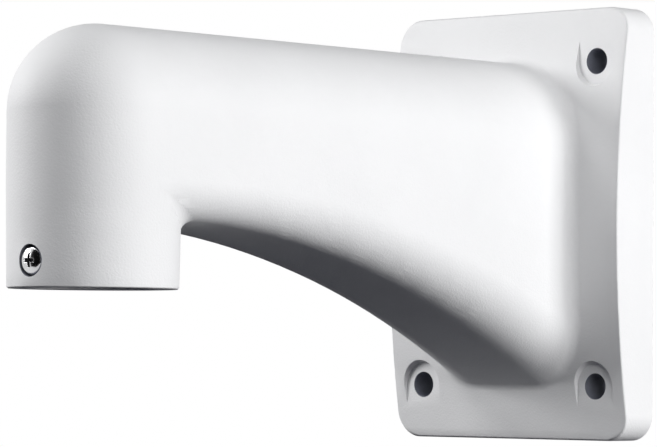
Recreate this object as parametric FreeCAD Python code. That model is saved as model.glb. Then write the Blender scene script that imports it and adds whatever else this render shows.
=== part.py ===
import FreeCAD, Part
import math
import os
from FreeCAD import Vector

# All lengths are in millimetres.
# Frame: the wall is the plane Y = 0 and the bracket stands out from it towards -Y.
# +Z is up. The origin is the middle of the four wall holes, on the wall.

# Arm and elbow
arm_reach = 241.0          # wall to the upright axis of the socket
arm_top = 63.2             # level top of the arm above the origin
arm_root_half_width = 36.0 # half of the arm's width where it meets the plate
under_apex_out = 236.0     # distance from the wall to the highest point of the underside
under_apex_z = -4.1        # height of that point
under_radius = 436.0       # long arc of the underside, seen from the side
corner_at_elbow = 12.0     # rounding of the arm's lower edges at the elbow
corner_at_root = 21.0      # the same rounding at the plate
root_fillet = 4.0          # hollow rounding between the arm and the plate
arm_wall = 4.0             # thickness of the arm's wall
arm_stations = 5           # sections that the arm's skin runs through
top_pieces = 8             # edges in the round top of a section
corner_pieces = 10         # edges in each lower corner of the outer section
inner_corner_pieces = 3    # edges in each lower corner of the inner section

# Socket at the free end
socket_radius = 30.0       # outside of the socket at its rim
elbow_radius = 30.5        # outside of the elbow, a little larger for the draft
socket_rim_z = -29.0       # lower rim of the socket
thread_bore_radius = 22.42 # crest of the inch-and-a-half pipe thread
thread_length = 25.0       # depth of the thread from the rim
rim_chamfer = 0.6          # small chamfer on the rim's edges

# Wall plate
plate_width = 116.0
plate_height = 166.0
plate_corner = 10.0        # corners of the outline, seen from the front
plate_middle = 22.3        # thickness at half height
plate_bow = 450.0          # radius of the bowed front
plate_edge = 0.8           # small chamfer on the front edge
plate_wall = 4.0           # thickness of the bowed front wall
plate_side_wall = 5.0      # thickness of the upright side walls

# Wall holes, each in a pocket that runs out towards the plate's end
hole_spacing_x = 87.0
hole_spacing_z = 124.5
hole_radius = 5.0
pocket_radius = 8.65       # round end of the pocket's floor
pocket_draft = 24.0        # the pocket's wall leans outwards by this many degrees
pocket_floor = 16.8        # distance from the wall to the pocket's floor
boss_radius = 11.0         # post round each hole, behind the front wall

# Lock screw in the nose of the socket
screw_z_above_rim = 9.25
screw_head_radius = 5.1
screw_head_height = 3.4
screw_seat_depth = 2.65    # flat seat for the head, below the socket's skin
screw_seat_radius = 5.6
screw_hole_radius = 2.5
screw_shank_radius = 2.45
screw_tip_gap = 0.55       # the shank ends this far short of the thread's bore
recess_depth = 2.0
recess_length = 4.9        # tip to tip across the cross recess
recess_width = 1.15

FAR = 600.0                # longer than anything in the part


def arc_run(centre, radius, y, start, end, pieces, chords):
    """An arc in an upright plane as several edges, which are straight if chords is true."""
    step = (end - start) / pieces
    edges = []
    for k in range(pieces):
        points = []
        for share in (0.0, 0.5, 1.0):
            angle = math.radians(start + (k + share) * step)
            x = centre[0] + radius * math.cos(angle)
            z = centre[1] + radius * math.sin(angle)
            points.append(Vector(x, y, z))
        if chords:
            edges.append(Part.makeLine(points[0], points[2]))
        else:
            edges.append(Part.Arc(points[0], points[1], points[2]).toShape())
    return edges


def half_width_at(y):
    """Half of the arm's width, which grows evenly towards the plate."""
    share = (arm_reach + y) / (arm_reach - plate_middle)
    return elbow_radius + share * (arm_root_half_width - elbow_radius)


def corner_at(y):
    """Rounding of the arm's lower edges, which grows towards the plate."""
    share = (arm_reach + y) / (arm_reach - plate_middle)
    return corner_at_elbow + share * (corner_at_root - corner_at_elbow)


def underside_at(y, inset):
    """Height of the arched underside, a long arc seen from the side."""
    radius = under_radius + inset
    drop = radius - math.sqrt(radius ** 2 - (y + under_apex_out) ** 2)
    return under_apex_z + inset - drop


def arm_section(y, inset):
    """One upright section: a round top, straight sides and rounded lower corners.

    The inner skin, which is out of sight, has short straight edges in place of arcs.
    """
    half = half_width_at(y) - inset
    round_z = arm_top - inset - half
    low = underside_at(y, inset)
    corner = max(corner_at(y) - inset, 1.0)
    chords = inset > 0
    turns = inner_corner_pieces if chords else corner_pieces
    edges = arc_run((0, round_z), half, y, 0, 180, top_pieces, chords)
    edges.append(Part.makeLine(Vector(-half, y, round_z), Vector(-half, y, low + corner)))
    edges += arc_run((corner - half, low + corner), corner, y, 180, 270, turns, chords)
    edges.append(Part.makeLine(Vector(corner - half, y, low), Vector(half - corner, y, low)))
    edges += arc_run((half - corner, low + corner), corner, y, 270, 360, turns, chords)
    edges.append(Part.makeLine(Vector(half, y, low + corner), Vector(half, y, round_z)))
    return Part.Wire(edges)


def arm_body(inset, y_end):
    """The arm from the elbow to y_end, every face set in by the same amount."""
    step = (y_end + arm_reach) / (arm_stations - 1)
    sections = [arm_section(k * step - arm_reach, inset) for k in range(arm_stations)]
    return Part.makeLoft(sections, True, False)


def rounded_plate(width, height, corner, depth):
    """A rounded rectangle on the wall plane, pulled out towards -Y."""
    corner = min(corner, 0.49 * width, 0.49 * height)
    block = Part.makeBox(width, depth, height, Vector(-width / 2, -depth, -height / 2))
    upright = [e for e in block.Edges if e.BoundBox.YLength > 0.9 * depth]
    return block.makeFillet(corner, upright)


def bowed(shape, radius_drop):
    """Keep the part of a shape that lies behind the plate's bowed front."""
    centre = Vector(-FAR, plate_bow - plate_middle, 0)
    drum = Part.makeCylinder(plate_bow - radius_drop, 2 * FAR, centre, Vector(1, 0, 0))
    return shape.common(drum)


def plate_solid():
    """The solid plate with its bowed front and a small chamfer round it."""
    plate = bowed(rounded_plate(plate_width, plate_height, plate_corner, 2 * plate_middle), 0)
    front = [e for e in plate.Edges if e.BoundBox.YMax < -0.25 * plate_middle]
    return plate.makeChamfer(plate_edge, front)


def plate_hollow():
    """The space behind the front wall, with a post left round every hole."""
    width = plate_width - 2 * plate_side_wall
    height = plate_height - 2 * plate_side_wall
    corner = max(plate_corner - plate_side_wall, 1.0)
    hollow = bowed(rounded_plate(width, height, corner, 2 * plate_middle), plate_wall)
    for x, z in hole_centres():
        post = Part.makeCylinder(boss_radius, 2 * plate_middle, Vector(x, 1, z), Vector(0, -1, 0))
        hollow = hollow.cut(post)
    return hollow


def hole_centres():
    """The four wall holes as (x, z)."""
    dx = hole_spacing_x / 2
    dz = hole_spacing_z / 2
    return [(-dx, dz), (dx, dz), (-dx, -dz), (dx, -dz)]


def pocket_outline(x, z, rise):
    """The pocket's outline at a height above its floor: a round end and two straight legs."""
    radius = pocket_radius + rise * math.tan(math.radians(pocket_draft))
    outwards = 1 if z > 0 else -1
    y = -pocket_floor - rise
    end = z + outwards * plate_height
    corners = [Vector(x + radius, y, z), Vector(x + radius, y, end),
               Vector(x - radius, y, end), Vector(x - radius, y, z)]
    round_end = Part.Arc(corners[3], Vector(x, y, z - outwards * radius), corners[0]).toShape()
    return Part.Wire([round_end, *Part.makePolygon(corners).Edges])


def hole_cutter(x, z):
    """A wall hole and the flat-floored pocket that runs off the plate's end."""
    hole = Part.makeCylinder(hole_radius, 3 * plate_middle, Vector(x, 1, z), Vector(0, -1, 0))
    depth = plate_middle - pocket_floor
    outlines = [pocket_outline(x, z, 0), pocket_outline(x, z, depth)]
    return hole.fuse(Part.makeLoft(outlines, True, True))


def turned(profile):
    """A solid turned about the socket's axis from (radius, height) points."""
    points = [Vector(radius, 0, height) for radius, height in profile]
    shape = Part.Face(Part.makePolygon(points + [points[0]])).revolve(Vector(), Vector(0, 0, 1), 360)
    shape.translate(Vector(0, -arm_reach, 0))
    return shape


def draft_top():
    """Height where the socket's draft ends, just under the top of the arm's lower corners."""
    return under_apex_z + 0.9 * corner_at_elbow


def socket_outside():
    """The upright socket, drafted below the arm, with the round elbow on top."""
    elbow_z = arm_top - elbow_radius
    rim = socket_rim_z
    post = turned([
        (0, rim),
        (socket_radius - rim_chamfer, rim),
        (socket_radius, rim + rim_chamfer),
        (elbow_radius, draft_top()),
        (elbow_radius, elbow_z),
        (0, elbow_z),
    ])
    ball = Part.makeSphere(elbow_radius, Vector(0, -arm_reach, elbow_z))
    return post.fuse(ball)


def socket_inside():
    """The threaded bore, a cone above it and the stepped space inside the elbow."""
    elbow_z = arm_top - elbow_radius
    inner = elbow_radius - arm_wall
    thread_top = socket_rim_z + thread_length
    half = 0.5 * math.sqrt(2) * inner
    return turned([
        (0, socket_rim_z - 1),
        (thread_bore_radius + rim_chamfer + 1, socket_rim_z - 1),
        (thread_bore_radius, socket_rim_z + rim_chamfer),
        (thread_bore_radius, thread_top),
        (inner, thread_top + inner - thread_bore_radius),
        (inner, elbow_z),
        (half, elbow_z + half),
        (0, elbow_z + inner),
    ])


def screw_seat_out():
    """Distance from the socket's axis to the seat, on the drafted skin."""
    rise = screw_z_above_rim / (draft_top() - socket_rim_z)
    return socket_radius + rise * (elbow_radius - socket_radius) - screw_seat_depth


def screw_frame_point(out):
    """A point on the screw's axis at a distance from the socket's axis."""
    return Vector(0, -arm_reach - out, socket_rim_z + screw_z_above_rim)


def screw_cutter():
    """The flat seat for the head and the hole for the shank."""
    outward = Vector(0, -1, 0)
    seat_out = screw_seat_out()
    seat = Part.makeCylinder(screw_seat_radius, 4 * screw_seat_depth, screw_frame_point(seat_out), outward)
    hole = Part.makeCylinder(screw_hole_radius, seat_out, screw_frame_point(0), outward)
    return seat.fuse(hole)


def lock_screw():
    """Pan-head screw with a cross recess, pointing in towards the pipe."""
    head = screw_head_radius
    height = screw_head_height
    side = 0.42 * height
    shank = screw_seat_out() - thread_bore_radius - screw_tip_gap
    profile = [
        Vector(0, 0, -shank),
        Vector(screw_shank_radius, 0, -shank),
        Vector(screw_shank_radius, 0, 0),
        Vector(head, 0, 0),
    ]
    crown = Vector(0, 0, height)
    ball = (head ** 2 + (height - side) ** 2) / (2 * (height - side))
    whole = math.asin(head / ball)
    for angle in (whole, 0.5 * whole):
        profile.append(Vector(ball * math.sin(angle), 0, height - ball + ball * math.cos(angle)))
    profile.append(crown)
    lines = [Part.makeLine(a, b) for a, b in zip(profile, profile[1:])]
    lines.append(Part.makeLine(crown, profile[0]))
    screw = Part.Face(Part.Wire(lines)).revolve(Vector(0, 0, 0), Vector(0, 0, 1), 360)
    screw = screw.cut(cross_recess(height))
    screw.rotate(Vector(0, 0, 0), Vector(1, 0, 0), 90)
    screw.translate(screw_frame_point(screw_seat_out()))
    return screw


def cross_recess(height):
    """Two crossing slots that narrow downwards, with a blunt point."""
    slots = []
    for wide, deep in ((recess_length, recess_width), (recess_width, recess_length)):
        floor = cross_wire(0.45 * wide, 0.75 * deep, height - recess_depth)
        if wide < deep:
            floor = cross_wire(0.75 * wide, 0.45 * deep, height - recess_depth)
        mouth = cross_wire(wide, deep, height + 0.2)
        slots.append(Part.makeLoft([floor, mouth], True, True))
    return slots[0].fuse(slots[1])


def cross_wire(size_x, size_y, z):
    """A rectangle about the screw's axis."""
    x = size_x / 2
    y = size_y / 2
    points = [Vector(-x, -y, z), Vector(x, -y, z), Vector(x, y, z), Vector(-x, y, z), Vector(-x, -y, z)]
    return Part.makePolygon(points)


def is_root_edge(edge):
    """True where the arm's skin meets the front of the plate."""
    box = edge.BoundBox
    inside_x = max(abs(box.XMin), abs(box.XMax)) < 0.5 * plate_width - 8
    inside_z = box.ZMax < arm_top + 1 and box.ZMin > -0.5 * plate_height + 8
    near_front = box.YMin > -plate_middle - 0.5 and box.YMax < -0.5 * plate_middle
    return inside_x and inside_z and near_front


def casting():
    """The bracket: plate, arm, elbow and socket as one piece."""
    arm = arm_body(0, -0.45 * plate_middle)
    outside = plate_solid().fuse(arm)
    root = [e for e in outside.Edges if is_root_edge(e)]
    outside = outside.makeFillet(root_fillet, root)
    outside = outside.fuse(socket_outside())
    body = outside
    for space in (plate_hollow(), arm_body(arm_wall, 1.0), socket_inside(), screw_cutter()):
        body = body.cut(space)
    return body.cut([hole_cutter(x, z) for x, z in hole_centres()])


def one_solid(shape):
    """The single solid of a shape."""
    solids = shape.Solids
    if len(solids) != 1:
        raise ValueError("expected one solid, found %d" % len(solids))
    return solids[0]


os.makedirs("parts", exist_ok=True)
pieces = {
    "bracket_casting": one_solid(casting()),
    "lock_screw": one_solid(lock_screw()),
}
for name, shape in pieces.items():
    if not shape.isValid():
        raise ValueError(name + " is not valid")
    shape.exportStep("parts/" + name + ".step")
    box = shape.BoundBox
    print(name, "volume", round(shape.Volume), "box",
          [round(v, 2) for v in (box.XMin, box.YMin, box.ZMin, box.XMax, box.YMax, box.ZMax)])
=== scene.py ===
"""Looks of the camera wall bracket: its powder coat, lock screw, socket thread and studio."""
import math

import bmesh
import bpy
from bpy.props import FloatProperty, FloatVectorProperty, IntProperty, PointerProperty
from mathutils import Matrix, Vector


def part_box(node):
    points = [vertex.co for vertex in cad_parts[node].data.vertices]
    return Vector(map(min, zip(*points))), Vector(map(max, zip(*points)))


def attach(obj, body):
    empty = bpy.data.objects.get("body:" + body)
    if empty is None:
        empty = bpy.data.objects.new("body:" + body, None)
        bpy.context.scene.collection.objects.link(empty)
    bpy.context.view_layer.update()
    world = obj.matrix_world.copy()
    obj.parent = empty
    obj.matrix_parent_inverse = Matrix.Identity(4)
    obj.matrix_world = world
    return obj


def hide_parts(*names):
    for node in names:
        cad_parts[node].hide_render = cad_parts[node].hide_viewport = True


bl_info = {
    "name": "Camera wall bracket",
    "version": (1, 0, 0),
    "blender": (4, 5, 0),
    "location": "3D View > Sidebar > Bracket",
    "description": "Powder coat, lock screw, socket thread and studio of a cast camera wall bracket",
    "category": "Object",
}

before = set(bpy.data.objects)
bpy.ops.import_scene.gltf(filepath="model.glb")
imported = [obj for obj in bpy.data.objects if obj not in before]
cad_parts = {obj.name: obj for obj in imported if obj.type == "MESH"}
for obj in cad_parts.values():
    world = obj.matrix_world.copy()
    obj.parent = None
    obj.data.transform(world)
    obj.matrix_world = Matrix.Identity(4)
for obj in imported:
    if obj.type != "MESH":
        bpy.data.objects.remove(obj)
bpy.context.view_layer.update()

# Places and sizes that the solids give, in metres
SCREW_LOW, SCREW_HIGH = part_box("lock_screw")
CASTING_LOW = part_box("bracket_casting")[0]
SOCKET_RADIUS = 0.03         # outside of the socket at its rim
ELBOW_RADIUS = 0.0305        # outside of the elbow and of the top of the socket
SOCKET_BOTTOM = -0.029       # height of the socket's rim
DRAFT_TOP = 0.0067           # height at which the socket has widened to the elbow's radius
SOCKET_AXIS_Y = CASTING_LOW.y + ELBOW_RADIUS
SOCKET_OUT = -SOCKET_AXIS_Y
PLATE_OUT = 0.0223           # front of the wall plate at half height
ARM_ROOT_HALF_WIDTH = 0.036  # half of the arm's width at the plate
CORNER_AT_ELBOW = 0.012      # rounding of the arm's lower edges at the elbow
CORNER_AT_ROOT = 0.021       # the same rounding at the plate
UNDER_RADIUS = 0.436         # long arc of the arm's underside
UNDER_APEX_OUT = 0.236       # distance from the wall to the highest point of that arc
UNDER_APEX_Z = -0.0041       # height of that point
HOLE_X, HOLE_Z = 0.0435, 0.06225  # middle of a wall hole, from the plate's middle
HOLE_RADIUS = 0.005
SEAT_RADIUS = 0.0056         # flat seat of the screw's head
SCREW_AXIS_Z = (SCREW_LOW.z + SCREW_HIGH.z) / 2
HEAD_RADIUS = (SCREW_HIGH.z - SCREW_LOW.z) / 2
SHANK_RADIUS = 0.00245


class BracketCoat(bpy.types.PropertyGroup):
    """White powder coat on the casting."""

    colour: FloatVectorProperty(
        name="Coat colour", description="Colour of the powder coat", subtype="COLOR",
        size=3, min=0.0, max=1.0, default=(0.828, 0.828, 0.833))
    roughness: FloatProperty(
        name="Sheen roughness", description="How satin the coat is", subtype="FACTOR",
        min=0.05, max=1.0, default=0.55)
    grain: FloatProperty(
        name="Grain size", description="Size of the coat's fine pebbles", subtype="DISTANCE",
        unit="LENGTH", min=0.0002, max=0.01, default=0.0008)
    grain_height: FloatProperty(
        name="Grain height", description="Height of the pebbles", subtype="DISTANCE",
        unit="LENGTH", min=0.0, max=0.001, default=0.0001)
    # Painted shade: a dark blue-grey laid on the walls of the wall holes and in the screw's seat, in
    # place of the shade that falls in these hollows
    hollow_shade: FloatVectorProperty(
        name="Painted hollow shade", description="Painted shade on the walls of the wall holes and in the screw's seat",
        subtype="COLOR", size=3, min=0.0, max=1.0, default=(0.21, 0.22, 0.26))


class LockScrewSizes(bpy.types.PropertyGroup):
    """Polished pan-head lock screw."""

    crown: FloatProperty(
        name="Head height", description="Height of the domed head above its seat", subtype="DISTANCE",
        unit="LENGTH", min=0.001, max=0.01, default=0.0034)
    side: FloatProperty(
        name="Side height", description="Height of the head's upright side", subtype="DISTANCE",
        unit="LENGTH", min=0.0, max=0.005, default=0.0009)
    rounding: FloatProperty(
        name="Edge rounding", description="Rounding between the head's top and its side",
        subtype="DISTANCE", unit="LENGTH", min=0.0001, max=0.003, default=0.0018)
    recess_span: FloatProperty(
        name="Recess span", description="Tip to tip across the cross recess", subtype="DISTANCE",
        unit="LENGTH", min=0.001, max=0.01, default=0.0049)
    recess_width: FloatProperty(
        name="Recess width", description="Width of one wing of the recess", subtype="DISTANCE",
        unit="LENGTH", min=0.0003, max=0.004, default=0.0012)
    recess_depth: FloatProperty(
        name="Recess depth", description="Depth of the recess at the middle", subtype="DISTANCE",
        unit="LENGTH", min=0.0005, max=0.005, default=0.002)
    colour: FloatVectorProperty(
        name="Steel colour", description="Colour of the polished steel", subtype="COLOR",
        size=3, min=0.0, max=1.0, default=(0.62, 0.62, 0.63))
    # Painted shade: a near-black colour laid in the cross recess, where shade falls, and on the head's
    # side, as painted shade and painted dark reflection of the seat
    painted_shade_colour: FloatVectorProperty(
        name="Painted shade colour", description="Painted shade in the recess and on the head's side",
        subtype="COLOR", size=3, min=0.0, max=1.0, default=(0.05, 0.05, 0.055))


class SocketThreadSizes(bpy.types.PropertyGroup):
    """Pipe thread inside the socket."""

    bore: FloatProperty(
        name="Bore radius", description="Radius of the socket's plain bore", subtype="DISTANCE",
        unit="LENGTH", min=0.005, max=0.05, default=0.02242)
    pitch: FloatProperty(
        name="Pitch", description="Distance from one turn to the next", subtype="DISTANCE",
        unit="LENGTH", min=0.0005, max=0.01, default=0.00221)
    height: FloatProperty(
        name="Turn height", description="Height of a turn above the bore's wall", subtype="DISTANCE",
        unit="LENGTH", min=0.0002, max=0.003, default=0.0012)
    turns: IntProperty(
        name="Turns", description="Number of turns of the thread", min=1, max=30, default=10)
    start: FloatProperty(
        name="Start", description="Distance from the rim to the first turn", subtype="DISTANCE",
        unit="LENGTH", min=0.0, max=0.02, default=0.0014)


class ThroatBlendSizes(bpy.types.PropertyGroup):
    """Hollow rounding where the arm's underside meets the socket."""

    radius: FloatProperty(
        name="Blend radius", description="Radius of the hollow rounding", subtype="DISTANCE",
        unit="LENGTH", min=0.0005, max=0.015, default=0.0055)
    root: FloatProperty(
        name="Root depth", description="How far the blend's back reaches into the casting",
        subtype="DISTANCE", unit="LENGTH", min=0.0001, max=0.003, default=0.0004)


class StudioSetting(bpy.types.PropertyGroup):
    """Camera, floor and power of the lamps."""

    azimuth: FloatProperty(
        name="Camera azimuth", description="Turn of the camera round the bracket", subtype="ANGLE",
        unit="ROTATION", default=math.radians(42.62))
    elevation: FloatProperty(
        name="Camera elevation", description="Height of the camera above the horizon", subtype="ANGLE",
        unit="ROTATION", default=math.radians(-2.07))
    roll: FloatProperty(
        name="Camera roll", description="Lean of the camera", subtype="ANGLE",
        unit="ROTATION", default=math.radians(0.43))
    distance: FloatProperty(
        name="Camera distance", description="Distance from the camera to its target",
        subtype="DISTANCE", unit="LENGTH", min=0.1, default=1.42006)
    target: FloatVectorProperty(
        name="Camera target", description="Point that the camera looks at", subtype="TRANSLATION",
        unit="LENGTH", size=3, default=(0.0, -0.1206, -0.00246))
    lens: FloatProperty(
        name="Lens", description="Focal length on a 36 mm wide sensor, in millimetres",
        subtype="DISTANCE_CAMERA", unit="CAMERA", min=10.0, max=400.0, default=210.274)
    floor_drop: FloatProperty(
        name="Floor drop", description="Depth of the floor below the wall plate", subtype="DISTANCE",
        unit="LENGTH", min=0.0, default=0.25)
    lamp_share: FloatProperty(
        name="Lamp power", description="Power of all lamps against their set power", subtype="FACTOR",
        min=0.0, soft_max=2.0, default=1.0)


# Finishes: noise scales are per metre, and shares are of 1
NOISE_LOW, NOISE_HIGH = 0.3, 0.7  # most of a noise's values lie between these
CLOUD_SCALE = 22.0                # the coat's slow change of colour
CLOUD_SHADE = 0.965               # its darker colour against the lighter one
WAVE_SCALE = 160.0                # the coat's slow unevenness
WAVE_SHARE = 0.6                  # its height against the pebbles' height
DUST_FINENESS = 2.6               # how much finer the spots of other sheen are than the pebbles
SHEEN_SPREAD = 0.05               # how far their roughness departs from the coat's
COAT_SPECULAR = 0.15
SMEAR_SCALE = 900.0               # the steel's patches of other polish
SMEAR_SHADE = 0.86                # their darker colour against the lighter one
SCRATCH_SCALE = 5200.0
SCRATCH_HEIGHT = 0.000004
POLISH, RECESS_POLISH = 0.13, 0.45  # roughness of the bright and of the dark steel
FACET_ROOM = 0.00004              # how far a hole's mesh may stand outside its circle, in metres


def nodes_of(owner):
    """The empty node tree of a material or a world."""
    owner.use_nodes = True
    tree = owner.node_tree
    tree.nodes.clear()
    return tree


def add_node(tree, kind, place, **values):
    """A node of a kind at a place, with its plain settings."""
    node = tree.nodes.new(kind)
    node.location = place
    for name, value in values.items():
        setattr(node, name, value)
    return node


def set_inputs(node, **values):
    """Sets a node's inputs by name, with spaces written as underscores."""
    for name, value in values.items():
        node.inputs[name.replace("_", " ")].default_value = value


def noise(tree, place, coordinates, scale, detail, roughness=0.5):
    """Solid noise on the given coordinates."""
    node = add_node(tree, "ShaderNodeTexNoise", place)
    set_inputs(node, Scale=scale, Detail=detail, Roughness=roughness)
    tree.links.new(coordinates, node.inputs["Vector"])
    return node.outputs["Fac"]


def spread(tree, place, source, low, high):
    """Maps a noise to the range from low to high."""
    node = add_node(tree, "ShaderNodeMapRange", place)
    set_inputs(node, From_Min=NOISE_LOW, From_Max=NOISE_HIGH, To_Min=low, To_Max=high)
    tree.links.new(source, node.inputs["Value"])
    return node.outputs["Result"]


def calculate(tree, place, operation, first, second=None):
    """The result of one operation on one or two values, each a socket or a number."""
    node = add_node(tree, "ShaderNodeMath", place, operation=operation)
    for socket, value in zip(node.inputs, (first, second)):
        if isinstance(value, (int, float)):
            socket.default_value = value
        elif value is not None:
            tree.links.new(value, socket)
    return node.outputs["Value"]


def beside_centre(tree, place, coordinate, centre):
    """How far the size of a coordinate is from a centre's, for holes that mirror each other."""
    size = calculate(tree, place, "ABSOLUTE", coordinate)
    return calculate(tree, (place[0] + 200, place[1]), "SUBTRACT", size, centre)


def in_circle(tree, place, first, second, radius):
    """1 where two offsets lie within a radius, with a little room for the mesh's facets."""
    offsets = add_node(tree, "ShaderNodeCombineXYZ", place)
    tree.links.new(first, offsets.inputs["X"])
    tree.links.new(second, offsets.inputs["Y"])
    reach = add_node(tree, "ShaderNodeVectorMath", (place[0] + 200, place[1]), operation="LENGTH")
    tree.links.new(offsets.outputs["Vector"], reach.inputs[0])
    limit = (place[0] + 400, place[1])
    return calculate(tree, limit, "LESS_THAN", reach.outputs["Value"], radius + FACET_ROOM)


def painted_shade_places(tree, coordinates):
    """1 where shade is painted: on the walls of the wall holes and in the screw's seat, and 0 elsewhere.
    """
    parts = add_node(tree, "ShaderNodeSeparateXYZ", (-900, 900))
    tree.links.new(coordinates, parts.inputs["Vector"])
    x, y, z = (parts.outputs[axis] for axis in "XYZ")
    aside = beside_centre(tree, (-700, 1100), x, HOLE_X)
    above = beside_centre(tree, (-700, 900), z, HOLE_Z)
    holes = in_circle(tree, (-300, 1000), aside, above, HOLE_RADIUS)
    level = calculate(tree, (-500, 700), "SUBTRACT", z, SCREW_AXIS_Z)
    front = calculate(tree, (-300, 500), "LESS_THAN", y, SOCKET_AXIS_Y)
    disc = in_circle(tree, (-300, 700), x, level, SEAT_RADIUS)
    seat = calculate(tree, (300, 600), "MULTIPLY", disc, front)
    return calculate(tree, (500, 800), "MAXIMUM", holes, seat)


def shade_pair(tree, place, colour, shade):
    """A mix from a darker colour, a share of the given one, to that colour."""
    mix = add_node(tree, "ShaderNodeMix", place, data_type="RGBA")
    mix.inputs["A"].default_value = tuple(shade * v for v in colour) + (1.0,)
    mix.inputs["B"].default_value = colour + (1.0,)
    return mix


def principled(tree):
    """A principled shader that gives the material's surface."""
    output = add_node(tree, "ShaderNodeOutputMaterial", (900, 0))
    shader = add_node(tree, "ShaderNodeBsdfPrincipled", (600, 0))
    tree.links.new(shader.outputs["BSDF"], output.inputs["Surface"])
    return shader


def bump(tree, height, strength, distance, shader):
    """Lets a height lift the shader's normal."""
    node = add_node(tree, "ShaderNodeBump", (200, -200))
    set_inputs(node, Strength=strength, Distance=distance)
    tree.links.new(height, node.inputs["Height"])
    tree.links.new(node.outputs["Normal"], shader.inputs["Normal"])


def powder_coat(setting):
    """White satin powder coat: fine pebbles, a slow unevenness and a little colour variation, with
    painted shade in the wall holes and the screw's seat.
    """
    material = bpy.data.materials.new("powder_coat")
    tree = nodes_of(material)
    links = tree.links
    shader = principled(tree)
    set_inputs(shader, IOR=1.45, Specular_IOR_Level=COAT_SPECULAR)
    place = add_node(tree, "ShaderNodeTexCoord", (-900, 0)).outputs["Object"]
    cloud = noise(tree, (-600, 300), place, CLOUD_SCALE, 3.0)
    pebbles = noise(tree, (-600, 0), place, 1.0 / setting.grain, 3.0, 0.55)
    dust = noise(tree, (-600, -300), place, DUST_FINENESS / setting.grain, 2.0)
    wave = noise(tree, (-600, -600), place, WAVE_SCALE, 1.0)
    tint = shade_pair(tree, (-200, 300), tuple(setting.colour), CLOUD_SHADE)
    links.new(spread(tree, (-400, 300), cloud, 0.0, 1.0), tint.inputs["Factor"])
    # Painted shade: the hollows' mask mixes the dark colour into the coat
    hollow_shade_mix = add_node(tree, "ShaderNodeMix", (200, 300), data_type="RGBA")
    hollow_shade_mix.inputs["B"].default_value = tuple(setting.hollow_shade) + (1.0,)
    links.new(painted_shade_places(tree, place), hollow_shade_mix.inputs["Factor"])
    links.new(tint.outputs["Result"], hollow_shade_mix.inputs["A"])
    links.new(hollow_shade_mix.outputs["Result"], shader.inputs["Base Color"])
    smooth, rough = setting.roughness - SHEEN_SPREAD, setting.roughness + SHEEN_SPREAD
    links.new(spread(tree, (-200, 60), dust, smooth, rough), shader.inputs["Roughness"])
    height = add_node(tree, "ShaderNodeMath", (-200, -200), operation="MULTIPLY_ADD")
    height.inputs[1].default_value = WAVE_SHARE
    links.new(wave, height.inputs[0])
    links.new(pebbles, height.inputs[2])
    bump(tree, height.outputs["Value"], 1.0, setting.grain_height, shader)
    return material


def steel(name, colour, roughness):
    """Stainless steel with patches of other polish and fine scratches."""
    material = bpy.data.materials.new(name)
    tree = nodes_of(material)
    links = tree.links
    shader = principled(tree)
    set_inputs(shader, Metallic=1.0)
    place = add_node(tree, "ShaderNodeTexCoord", (-900, 0)).outputs["Object"]
    smear = noise(tree, (-600, 200), place, SMEAR_SCALE, 3.0)
    scratches = noise(tree, (-600, -200), place, SCRATCH_SCALE, 2.0)
    tint = shade_pair(tree, (-200, 300), colour, SMEAR_SHADE)
    links.new(smear, tint.inputs["Factor"])
    links.new(tint.outputs["Result"], shader.inputs["Base Color"])
    polish = spread(tree, (-200, 0), smear, 0.8 * roughness, 1.2 * roughness)
    links.new(polish, shader.inputs["Roughness"])
    bump(tree, scratches, 0.35, SCRATCH_HEIGHT, shader)
    return material


def new_piece(name, mesh, material):
    """A shown piece of the bracket that rides on its only body."""
    mesh.materials.append(material)
    mesh.shade_smooth()
    piece = bpy.data.objects.new(name, mesh)
    bpy.context.scene.collection.objects.link(piece)
    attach(piece, "root")
    return piece


def mesh_from(name, points, faces):
    """A mesh from points and faces, with its normals turned outwards."""
    mesh = bpy.data.meshes.new(name)
    mesh.from_pydata(points, [], faces)
    shape = bmesh.new()
    shape.from_mesh(mesh)
    bmesh.ops.recalc_face_normals(shape, faces=shape.faces)
    shape.to_mesh(mesh)
    shape.free()
    return mesh


def smooth_step(low, high, value):
    """0 below low, 1 above high and a smooth rise between."""
    share = min(max((value - low) / (high - low), 0.0), 1.0)
    return share * share * (3.0 - 2.0 * share)


# Shape of the lock screw beyond its settings: lengths in metres, shares of 1
RECESS_SOFTNESS = 0.00012  # half width of the rounding on the recess's edges
WING_TIP_DEPTH = 0.35      # depth of the recess at a wing's tip against the middle
WING_FLAT = 0.35           # share of a wing, from the middle, that has the full depth
# Painted shade: the deep part of the recess and the head's side get the near-black steel
PAINTED_SHADE_DEPTH = 0.25          # the recess is dark where it is deeper than this share
PAINTED_SHADE_ROUNDING = 0.3        # share of the head's rounding that is dark, with the side below it
HEAD_STEPS = 180           # points round the head
DOME_RINGS = 64
ROUNDING_RINGS = 16
HEAD_BEVEL = 0.0001        # bevel on the head's lower edge
SHANK_LENGTH = 0.0042
SHANK_TIP_IN = 0.0004      # bevel of the shank's end, across
SHANK_TIP_RISE = 0.0005    # and along
SAME_POINT = 1e-7


def recess_share(x, y, setting):
    """How deep the cross recess is at a point of the head, from 0 to 1."""
    span = setting.recess_span / 2
    half = setting.recess_width / 2
    soft = RECESS_SOFTNESS
    along, across = max(abs(x), abs(y)), min(abs(x), abs(y))
    hub = 1.0 - smooth_step(2.0 * half, 2.0 * half + 2 * soft, abs(x) + abs(y))
    wing = 1.0 - smooth_step(half - soft, half + soft, across)
    floor = 1.0 - smooth_step(WING_FLAT * span, span, along)
    edge = 1.0 - smooth_step(span - 2 * soft, span, along)
    return max(hub, wing * edge * (WING_TIP_DEPTH + (1.0 - WING_TIP_DEPTH) * floor))


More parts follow.
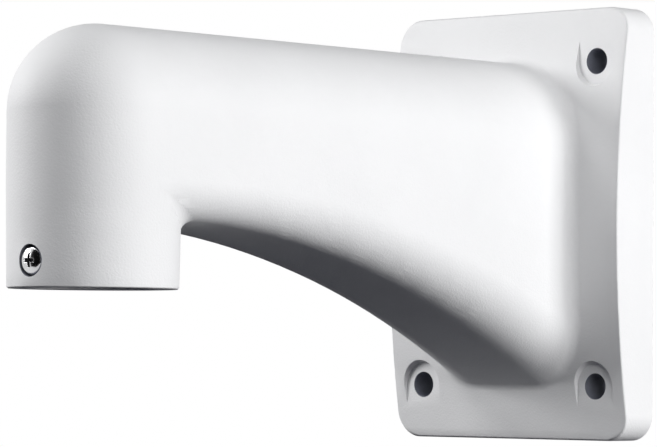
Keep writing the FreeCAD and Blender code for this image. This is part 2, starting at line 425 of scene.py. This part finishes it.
def has_painted_shade(face, setting):
    """True for a face that gets painted shade: in the recess or on the head's side."""
    x, z = face.center.x, face.center.z - SCREW_AXIS_Z
    height = SCREW_LOW.y + setting.crown - face.center.y
    if math.hypot(x, z) > HEAD_RADIUS - setting.rounding:
        return height < setting.side + PAINTED_SHADE_ROUNDING * setting.rounding
    return recess_share(x, z, setting) > PAINTED_SHADE_DEPTH


def head_profile(setting):
    """The head's outline as (radius, height): a shallow dome, a rounded edge and an upright side."""
    rounding, side = setting.rounding, setting.side
    # the dome's ball is tangent to the rounding, which ends upright on the side
    flat = HEAD_RADIUS - rounding
    rise = setting.crown - side
    ball = (flat ** 2 + rise ** 2 - rounding ** 2) / (2 * (rise - rounding))
    lean = math.asin(flat / (ball - rounding))
    edge = ball * math.sin(lean)
    outline = []
    for k in range(DOME_RINGS + 1):
        radius = edge * k / DOME_RINGS
        outline.append((radius, setting.crown - ball + math.sqrt(ball ** 2 - radius ** 2)))
    for k in range(1, ROUNDING_RINGS + 1):
        angle = lean + (math.pi / 2 - lean) * k / ROUNDING_RINGS
        outline.append((flat + rounding * math.sin(angle), side + rounding * math.cos(angle)))
    return outline


def shank_profile():
    """The outline from the head's lower edge to the middle of the shank's end."""
    return [(HEAD_RADIUS, HEAD_BEVEL), (HEAD_RADIUS - HEAD_BEVEL, 0.0), (SHANK_RADIUS, 0.0),
            (SHANK_RADIUS, SHANK_TIP_RISE - SHANK_LENGTH),
            (SHANK_RADIUS - SHANK_TIP_IN, -SHANK_LENGTH), (0.0, -SHANK_LENGTH)]


def lock_screw_mesh(setting):
    """The head as fine rings over a cross recess, and the plain shank."""
    around = HEAD_STEPS
    points, faces = [], []
    profile = head_profile(setting) + shank_profile()
    for radius, height in profile:
        for n in range(around):
            angle = 2 * math.pi * n / around
            x, y = radius * math.cos(angle), radius * math.sin(angle)
            drop = 0.0
            if height > setting.side:
                drop = setting.recess_depth * recess_share(x, y, setting)
            points.append((x, y, height - drop))
    for ring in range(len(profile) - 1):
        for n in range(around):
            a = ring * around + n
            b = ring * around + (n + 1) % around
            faces.append((a, b, b + around, a + around))
    mesh = mesh_from("lock_screw_polished", points, faces)
    shape = bmesh.new()
    shape.from_mesh(mesh)
    bmesh.ops.remove_doubles(shape, verts=shape.verts, dist=SAME_POINT)
    shape.to_mesh(mesh)
    shape.free()
    seat = Vector((0.0, SCREW_LOW.y + setting.crown, SCREW_AXIS_Z))
    mesh.transform(Matrix.Translation(seat) @ Matrix.Rotation(math.radians(90), 4, "X"))
    return mesh


# Shape of the thread's turns beyond their settings: shares are of the pitch
THREAD_STEPS = 96      # points in one turn
THREAD_ROOT = 0.0002   # the turns' back lies this deep in the bore's wall, in metres
ROOT_HALF = 0.47       # half of a turn's height at the bore
CREST_HALF = 0.09      # and at its crest
RUN_OUT = 0.6          # share of a turn in which the thread fades away at each end


def thread_mesh(setting):
    """Helical turns that stand in from the bore, with run-outs at both ends."""
    steps = THREAD_STEPS * setting.turns
    low = SOCKET_BOTTOM + setting.start + setting.pitch / 2
    back = setting.bore + THREAD_ROOT
    points, faces = [], []
    for k in range(steps + 1):
        angle = 2 * math.pi * k / THREAD_STEPS
        z = low + setting.pitch * k / THREAD_STEPS
        fade = smooth_step(0.0, RUN_OUT * THREAD_STEPS, min(k, steps - k))
        crest = setting.bore - setting.height * fade
        for radius, rise in ((back, -ROOT_HALF), (crest, -CREST_HALF), (crest, CREST_HALF),
                             (back, ROOT_HALF)):
            points.append((radius * math.cos(angle), SOCKET_AXIS_Y + radius * math.sin(angle),
                           z + rise * setting.pitch))
    for k in range(steps):
        for side in range(4):
            a, b = 4 * k + side, 4 * k + (side + 1) % 4
            faces.append((a, b, b + 4, a + 4))
    faces.append((0, 1, 2, 3))
    faces.append((4 * steps + 3, 4 * steps + 2, 4 * steps + 1, 4 * steps))
    return mesh_from("socket_thread_turns", points, faces)


# How the hollow rounding at the throat is worked out
SLOPE_STEP = 0.00001     # distance over which a slope is measured, in metres
SEARCH_TOP = 0.02        # the ball's centre is looked for between the rim and this height
HALVINGS = 40            # number of times the search halves its range
THROAT_STATIONS = 96     # places of the ball on its way round the socket
THROAT_ARC = 10          # edges across the rounding
SKIN_ROOM = 1.004        # the rounding is this much larger than the ball, to meet both skins


def arm_share(out):
    """0 at the socket's axis and 1 at the wall plate."""
    return (SOCKET_OUT - out) / (SOCKET_OUT - PLATE_OUT)


def arm_gap(x, out, z):
    """Distance from a point to the arm's skin in an upright section, positive outside."""
    half = ELBOW_RADIUS + (ARM_ROOT_HALF_WIDTH - ELBOW_RADIUS) * arm_share(out)
    corner = CORNER_AT_ELBOW + (CORNER_AT_ROOT - CORNER_AT_ELBOW) * arm_share(out)
    fall = UNDER_RADIUS - math.sqrt(UNDER_RADIUS ** 2 - (out - UNDER_APEX_OUT) ** 2)
    low = UNDER_APEX_Z - fall
    beside = abs(x) - (half - corner)
    below = low + corner - z
    if below <= 0.0:
        return beside - corner
    if beside <= 0.0:
        return below - corner
    return math.hypot(beside, below) - corner


def arm_slope(x, out, z):
    """How the distance to the arm's skin grows along X, Y and Z."""
    step = SLOPE_STEP
    return Vector((arm_gap(x + step, out, z) - arm_gap(x - step, out, z),
                   arm_gap(x, out - step, z) - arm_gap(x, out + step, z),
                   arm_gap(x, out, z + step) - arm_gap(x, out, z - step))) / (2 * step)


def socket_radius(z):
    """Outside radius of the socket, which widens a little up to the arm."""
    share = min(max((z - SOCKET_BOTTOM) / (DRAFT_TOP - SOCKET_BOTTOM), 0.0), 1.0)
    return SOCKET_RADIUS + (ELBOW_RADIUS - SOCKET_RADIUS) * share


def blend_ball(angle, radius):
    """Centre of a ball that touches the socket and the arm, and the way out of the arm there."""
    low, high = SOCKET_BOTTOM, SEARCH_TOP
    for _ in range(HALVINGS):
        z = (low + high) / 2
        reach = socket_radius(z) + radius
        x, out = reach * math.cos(angle), SOCKET_OUT - reach * math.sin(angle)
        slope = arm_slope(x, out, z)
        if arm_gap(x, out, z) / slope.length > radius:
            low = z
        else:
            high = z
    return Vector((x, -out, z)), slope.normalized()


def throat_mesh(setting):
    """The hollow rounding as the track of a ball that rolls round the socket under the arm."""
    back = setting.radius + setting.root
    points, faces = [], []
    for k in range(THROAT_STATIONS + 1):
        angle = math.pi * k / THROAT_STATIONS
        centre, out_of_arm = blend_ball(angle, setting.radius)
        to_socket = Vector((-math.cos(angle), -math.sin(angle), 0.0))
        to_arm = -out_of_arm
        points.append(centre + back * to_socket)
        for n in range(THROAT_ARC + 1):
            way = to_socket.slerp(to_arm, n / THROAT_ARC)
            points.append(centre + SKIN_ROOM * setting.radius * way)
        points.append(centre + back * to_arm)
        middle = (to_socket + to_arm).normalized()
        points.append(centre + back / middle.dot(to_arm) * middle)
    size = THROAT_ARC + 4
    for k in range(THROAT_STATIONS):
        for n in range(size):
            a, b = k * size + n, k * size + (n + 1) % size
            faces.append((a, b, b + size, a + size))
    faces.append(tuple(range(size)))
    faces.append(tuple(THROAT_STATIONS * size + n for n in reversed(range(size))))
    return mesh_from("throat_blend", points, faces)


WELD_DISTANCE = 0.000005
CRISP_ANGLE = math.radians(50)
THROAT_CRISP_ANGLE = math.radians(40)


def even_shading(piece):
    """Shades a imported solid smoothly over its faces, and crisply where they meet at an angle."""
    weld = piece.modifiers.new("weld", "WELD")
    weld.merge_threshold = WELD_DISTANCE
    split = piece.modifiers.new("crisp_edges", "EDGE_SPLIT")
    split.split_angle = CRISP_ANGLE
    split.use_edge_sharp = False
    normals = piece.modifiers.new("even_normals", "WEIGHTED_NORMAL")
    normals.mode = "FACE_AREA"
    normals.weight = 50
    normals.keep_sharp = False


class BRACKET_OT_powder_coat(bpy.types.Operator):
    """Give the casting its white satin powder coat"""

    bl_idname = "bracket.powder_coat"
    bl_label = "Powder Coat"

    def execute(self, context):
        coat = powder_coat(context.scene.bracket_coat)
        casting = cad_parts["bracket_casting"]
        even_shading(casting)
        slots = casting.material_slots
        if not slots:
            raise RuntimeError("the casting has no material slot")
        for place in slots:
            place.material = coat
        return {"FINISHED"}


class BRACKET_OT_lock_screw(bpy.types.Operator):
    """Build the polished lock screw in its seat in the socket's nose"""

    bl_idname = "bracket.lock_screw"
    bl_label = "Lock Screw"

    def execute(self, context):
        setting = context.scene.bracket_screw
        bright = steel("polished_steel", tuple(setting.colour), POLISH)
        # Painted shade: the deep recess and the head's side get the near-black steel, as painted shade
        # and painted dark reflection
        dark = steel("painted_shade_steel", tuple(setting.painted_shade_colour), RECESS_POLISH)
        mesh = lock_screw_mesh(setting)
        piece = new_piece("lock_screw_polished", mesh, bright)
        mesh.materials.append(dark)
        for face in mesh.polygons:
            if has_painted_shade(face, setting):
                face.material_index = 1
        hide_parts("lock_screw")
        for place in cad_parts["lock_screw"].material_slots:
            place.material = bright
        return {"FINISHED"}


class BRACKET_OT_socket_thread(bpy.types.Operator):
    """Build the turns of the pipe thread inside the socket"""

    bl_idname = "bracket.socket_thread"
    bl_label = "Socket Thread"

    def execute(self, context):
        coat = bpy.data.materials["powder_coat"]
        mesh = thread_mesh(context.scene.bracket_thread)
        new_piece("socket_thread_turns", mesh, coat)
        return {"FINISHED"}


class BRACKET_OT_throat_blend(bpy.types.Operator):
    """Round off the inner corner where the arm's underside meets the socket"""

    bl_idname = "bracket.throat_blend"
    bl_label = "Throat Blend"

    def execute(self, context):
        coat = bpy.data.materials["powder_coat"]
        mesh = throat_mesh(context.scene.bracket_throat)
        new_piece("throat_blend", mesh, coat)
        mesh.set_sharp_from_angle(angle=THROAT_CRISP_ANGLE)
        return {"FINISHED"}


# The studio, in metres, degrees and watts
LIT_MIDDLE = Vector((0.0, -0.12, 0.0))
LAMP_REACH, LAMP_SIZE = 1.6, 0.6
DIM_SKY, DIM_SKY_STRENGTH = (0.55, 0.7, 1.0, 1.0), 0.03
DIM_FLOOR = (0.018, 0.0195, 0.03, 1.0)
PALE_FLOOR = (0.9, 0.9, 0.9, 1.0)
WHITE = (1.0, 1.0, 1.0, 1.0)
CARD_BLACK = (0.01, 0.01, 0.01, 1.0)
FLOOR_HALF = 30.0
FADE_START, FADE_END = 0.3, 1.6  # distances over which the floor turns to plain white
NEAR_WHITE = 0.3                 # share of plain white where the fade starts
# The dark cards: name, azimuth and elevation, then distance, width and height
CARDS = (
    ("front_card", 14.0, 0.0, 0.8, 1.6, 2.2),
    ("edge_card", 252.0, 0.0, 0.8, 0.62, 1.2),
    ("top_card", 225.0, 30.0, 0.8, 1.2, 0.6),
    ("low_card", 225.0, -26.0, 0.5, 0.9, 0.29),
)
# The soft lamps: name, azimuth and elevation, then power
LAMPS = (
    ("side_lamp", 57.0, 18.0, 5.7),
    ("front_side_lamp", 80.0, 5.0, 6.5),
    ("low_side_lamp", 100.0, 5.0, 7.2),
    ("rear_side_lamp", 115.0, 5.0, 11.3),
    ("far_lamp", 300.0, 18.0, 21.1),
    ("far_high_lamp", 315.0, 50.0, 8.6),
)


def direction(azimuth, elevation):
    """The way from the bracket to a place round it, both angles in radians."""
    level = math.cos(elevation)
    return Vector((math.sin(azimuth) * level, -math.cos(azimuth) * level, math.sin(elevation)))


def camera_axes(setting):
    """The camera's right, up and back directions."""
    azimuth, roll = setting.azimuth, setting.roll
    back = direction(azimuth, setting.elevation)
    right = Vector((math.cos(azimuth), math.sin(azimuth), 0.0))
    up = back.cross(right)
    return (math.cos(roll) * right + math.sin(roll) * up,
            math.cos(roll) * up - math.sin(roll) * right, back)


def studio_camera(setting):
    """The camera at the photograph's angle."""
    right, up, back = camera_axes(setting)
    data = bpy.data.cameras.new("studio_camera")
    data.sensor_fit = "HORIZONTAL"
    data.sensor_width = 36.0
    data.lens = setting.lens
    data.clip_start, data.clip_end = 0.05, 60.0
    camera = bpy.data.objects.new("studio_camera", data)
    bpy.context.scene.collection.objects.link(camera)
    turn = Matrix((right, up, back)).transposed().to_4x4()
    camera.matrix_world = Matrix.Translation(Vector(setting.target) + setting.distance * back) @ turn
    bpy.context.scene.camera = camera


def soft_lamp(name, azimuth, elevation, power):
    """A square soft lamp that looks at the bracket's middle."""
    data = bpy.data.lights.new(name, "AREA")
    data.shape = "SQUARE"
    data.size = LAMP_SIZE
    data.energy = power
    lamp = bpy.data.objects.new(name, data)
    bpy.context.scene.collection.objects.link(lamp)
    away = direction(math.radians(azimuth), math.radians(elevation))
    lamp.location = LIT_MIDDLE + LAMP_REACH * away
    lamp.rotation_mode = "QUATERNION"
    lamp.rotation_quaternion = away.to_track_quat("Z", "Y")


def seen_by_lens(tree, place):
    """1 for camera, glossy and transmission rays, which see the pale studio."""
    path = add_node(tree, "ShaderNodeLightPath", place)
    camera, glossy, through = (
        path.outputs[name] for name in ("Is Camera Ray", "Is Glossy Ray", "Is Transmission Ray"))
    either = calculate(tree, (place[0] + 200, place[1]), "MAXIMUM", camera, glossy)
    return calculate(tree, (place[0] + 400, place[1]), "MAXIMUM", either, through)


def studio_world():
    """White where the lens looks, and a dim even light elsewhere."""
    world = bpy.data.worlds.new("studio_world")
    bpy.context.scene.world = world
    tree = nodes_of(world)
    output = add_node(tree, "ShaderNodeOutputWorld", (600, 0))
    mix = add_node(tree, "ShaderNodeMixShader", (400, 0))
    dim = add_node(tree, "ShaderNodeBackground", (100, 100))
    set_inputs(dim, Color=DIM_SKY, Strength=DIM_SKY_STRENGTH)
    white = add_node(tree, "ShaderNodeBackground", (100, -100))
    set_inputs(white, Color=WHITE, Strength=1.0)
    tree.links.new(seen_by_lens(tree, (-600, 200)), mix.inputs["Fac"])
    tree.links.new(dim.outputs["Background"], mix.inputs[1])
    tree.links.new(white.outputs["Background"], mix.inputs[2])
    tree.links.new(mix.outputs["Shader"], output.inputs["Surface"])


def floor_fade(tree):
    """The floor's share of plain white, which grows to all of it away from the bracket."""
    place = add_node(tree, "ShaderNodeTexCoord", (-900, -200)).outputs["Object"]
    reach = add_node(tree, "ShaderNodeVectorMath", (-700, -200), operation="LENGTH")
    tree.links.new(place, reach.inputs[0])
    fade = add_node(tree, "ShaderNodeMapRange", (-500, -200), interpolation_type="SMOOTHSTEP")
    set_inputs(fade, From_Min=FADE_START, From_Max=FADE_END, To_Min=NEAR_WHITE, To_Max=1.0)
    tree.links.new(reach.outputs["Value"], fade.inputs["Value"])
    return fade.outputs["Result"]


def floor_material():
    """Pale where the lens looks, fading to plain white, and dim where the lamps' light falls."""
    material = bpy.data.materials.new("studio_floor")
    tree = nodes_of(material)
    output = add_node(tree, "ShaderNodeOutputMaterial", (600, 0))
    mix = add_node(tree, "ShaderNodeMixShader", (400, 0))
    dim = add_node(tree, "ShaderNodeBsdfDiffuse", (100, 100))
    set_inputs(dim, Color=DIM_FLOOR)
    near = add_node(tree, "ShaderNodeBsdfDiffuse", (-300, -100))
    set_inputs(near, Color=PALE_FLOOR)
    far = add_node(tree, "ShaderNodeEmission", (-300, -300))
    set_inputs(far, Color=WHITE, Strength=1.0)
    pale = add_node(tree, "ShaderNodeMixShader", (100, -200))
    tree.links.new(floor_fade(tree), pale.inputs["Fac"])
    tree.links.new(near.outputs["BSDF"], pale.inputs[1])
    tree.links.new(far.outputs["Emission"], pale.inputs[2])
    tree.links.new(seen_by_lens(tree, (-600, 200)), mix.inputs["Fac"])
    tree.links.new(dim.outputs["BSDF"], mix.inputs[1])
    tree.links.new(pale.outputs["Shader"], mix.inputs[2])
    tree.links.new(mix.outputs["Shader"], output.inputs["Surface"])
    return material


def stage_sheet(name, corners, material):
    """A flat four-cornered sheet that belongs to the stage."""
    mesh = mesh_from(name, corners, [(0, 1, 2, 3)])
    mesh.materials.append(material)
    sheet = bpy.data.objects.new(name, mesh)
    bpy.context.scene.collection.objects.link(sheet)
    return sheet


def studio_floor(setting):
    """A plain pale floor below the bracket that keeps its shadow."""
    level = CASTING_LOW.z - setting.floor_drop
    half = FLOOR_HALF
    corners = [(-half, -half, level), (half, -half, level), (half, half, level), (-half, half, level)]
    stage_sheet("studio_floor", corners, floor_material())


def card_material():
    """Plain black."""
    material = bpy.data.materials.new("dark_card")
    tree = nodes_of(material)
    output = add_node(tree, "ShaderNodeOutputMaterial", (300, 0))
    surface = add_node(tree, "ShaderNodeBsdfDiffuse", (0, 0))
    set_inputs(surface, Color=CARD_BLACK)
    tree.links.new(surface.outputs["BSDF"], output.inputs["Surface"])
    return material


def studio_cards():
    """Dark cards outside the camera's view, which show only in the steel and in the coat's sheen."""
    material = card_material()
    for name, azimuth, elevation, reach, width, height in CARDS:
        away = direction(math.radians(azimuth), math.radians(elevation))
        across = Vector((-away.y, away.x, 0.0)).normalized() * width / 2
        rise = away.cross(across).normalized() * height / 2
        middle = LIT_MIDDLE + reach * away
        corners = [middle - across - rise, middle + across - rise, middle + across + rise,
                   middle - across + rise]
        card = stage_sheet(name, corners, material)
        card.visible_camera = False
        card.visible_diffuse = False
        card.visible_shadow = False
        card.visible_transmission = False
        card.visible_volume_scatter = False


class BRACKET_OT_studio(bpy.types.Operator):
    """Set up the camera, the pale floor, the dark cards and the soft lamps"""

    bl_idname = "bracket.studio"
    bl_label = "Studio"

    def execute(self, context):
        setting = context.scene.bracket_studio
        context.scene.view_settings.view_transform = "Standard"
        studio_camera(setting)
        studio_world()
        studio_floor(setting)
        studio_cards()
        for name, azimuth, elevation, power in LAMPS:
            soft_lamp(name, azimuth, elevation, setting.lamp_share * power)
        return {"FINISHED"}


# Each making step: the name of its settings on the scene, their group and its operator
STEPS = (
    ("bracket_coat", BracketCoat, BRACKET_OT_powder_coat),
    ("bracket_screw", LockScrewSizes, BRACKET_OT_lock_screw),
    ("bracket_thread", SocketThreadSizes, BRACKET_OT_socket_thread),
    ("bracket_throat", ThroatBlendSizes, BRACKET_OT_throat_blend),
    ("bracket_studio", StudioSetting, BRACKET_OT_studio),
)


class BRACKET_PT_panel(bpy.types.Panel):
    """Sizes, finishes and making steps of the bracket"""

    bl_label = "Camera Wall Bracket"
    bl_idname = "BRACKET_PT_panel"
    bl_space_type = "VIEW_3D"
    bl_region_type = "UI"
    bl_category = "Bracket"

    def draw(self, context):
        for name, group, operator in STEPS:
            box = self.layout.box()
            setting = getattr(context.scene, name)
            for value in group.__annotations__:
                box.prop(setting, value)
            box.operator(operator.bl_idname)


def register():
    """Register the classes and hang their settings on the scene."""
    for name, group, operator in STEPS:
        bpy.utils.register_class(group)
        bpy.utils.register_class(operator)
        setattr(bpy.types.Scene, name, PointerProperty(type=group))
    bpy.utils.register_class(BRACKET_PT_panel)


def unregister():
    """Take the panel, the settings and the classes away again."""
    bpy.utils.unregister_class(BRACKET_PT_panel)
    for name, group, operator in reversed(STEPS):
        delattr(bpy.types.Scene, name)
        bpy.utils.unregister_class(operator)
        bpy.utils.unregister_class(group)


def main():
    """Build the dressed bracket and its studio."""
    register()
    bpy.ops.bracket.powder_coat()
    bpy.ops.bracket.lock_screw()
    bpy.ops.bracket.socket_thread()
    bpy.ops.bracket.throat_blend()
    bpy.ops.bracket.studio()


if __name__ == "__main__":
    main()
